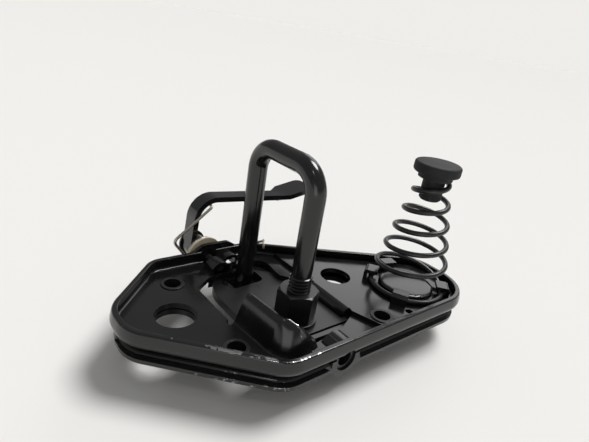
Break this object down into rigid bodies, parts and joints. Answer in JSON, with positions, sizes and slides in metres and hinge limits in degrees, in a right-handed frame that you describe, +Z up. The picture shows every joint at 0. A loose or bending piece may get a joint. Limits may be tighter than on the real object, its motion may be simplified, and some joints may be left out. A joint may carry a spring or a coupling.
{
  "type": "latch",
  "caption": "Hood latch with a bent striker loop, a lock nut, a conical pop-up spring with a soft cap, and a sprung safety lever on two stamped plates.",
  "frame": {"origin": "centre of the front mounting hole, half-way through the lower sheet", "axes": "X from the plain leg to the threaded leg of the loop, Y along the plates towards the pop-up spring, Z up along the loop"},
  "size_m": [0.0887, 0.134, 0.0726],
  "materials": {
    "black_paint": "gloss black paint",
    "black_steel": "satin black coating",
    "cap_rubber": "matte dark grey rubber",
    "nylon_beige": "beige nylon",
    "wire_silver": "drawn spring wire"
  },
  "bodies": {
    "plates": {"top_plate": "black_paint", "bottom_plate": "black_paint", "carrier_plate": "black_steel", "striker_loop": "black_paint", "lock_nut": "black_steel", "lock_washer": "black_steel", "lower_nut": "black_steel", "lower_washer": "black_steel", "pop_spring": "black_steel", "lever_pin": "black_steel", "lever_bush": "nylon_beige", "lever_spring": "wire_silver", "lever_washer": "black_steel", "rivet_left": "black_steel", "rivet_front": "black_steel", "rivet_right": "black_steel", "guide_sleeve": "black_steel"},
    "lever": {"safety_lever": "black_paint"},
    "cap": {"spring_cap": "cap_rubber"}
  },
  "joints": [
    {"name": "lever_turn", "type": "hinge", "parent": "plates", "child": "lever", "pos_m": [-0.039, 0.0278, 0.0051], "axis": [-1, 0, 0], "range_deg": [0, 30], "stiffness_Nm_per_rad": 0.05, "deforming": ["lever_spring"]},
    {"name": "cap_press", "type": "slide", "parent": "plates", "child": "cap", "axis": [0, 0, -1], "range_m": [0, 0.028], "stiffness_N_per_m": 400, "deforming": ["pop_spring"]}
  ]
}
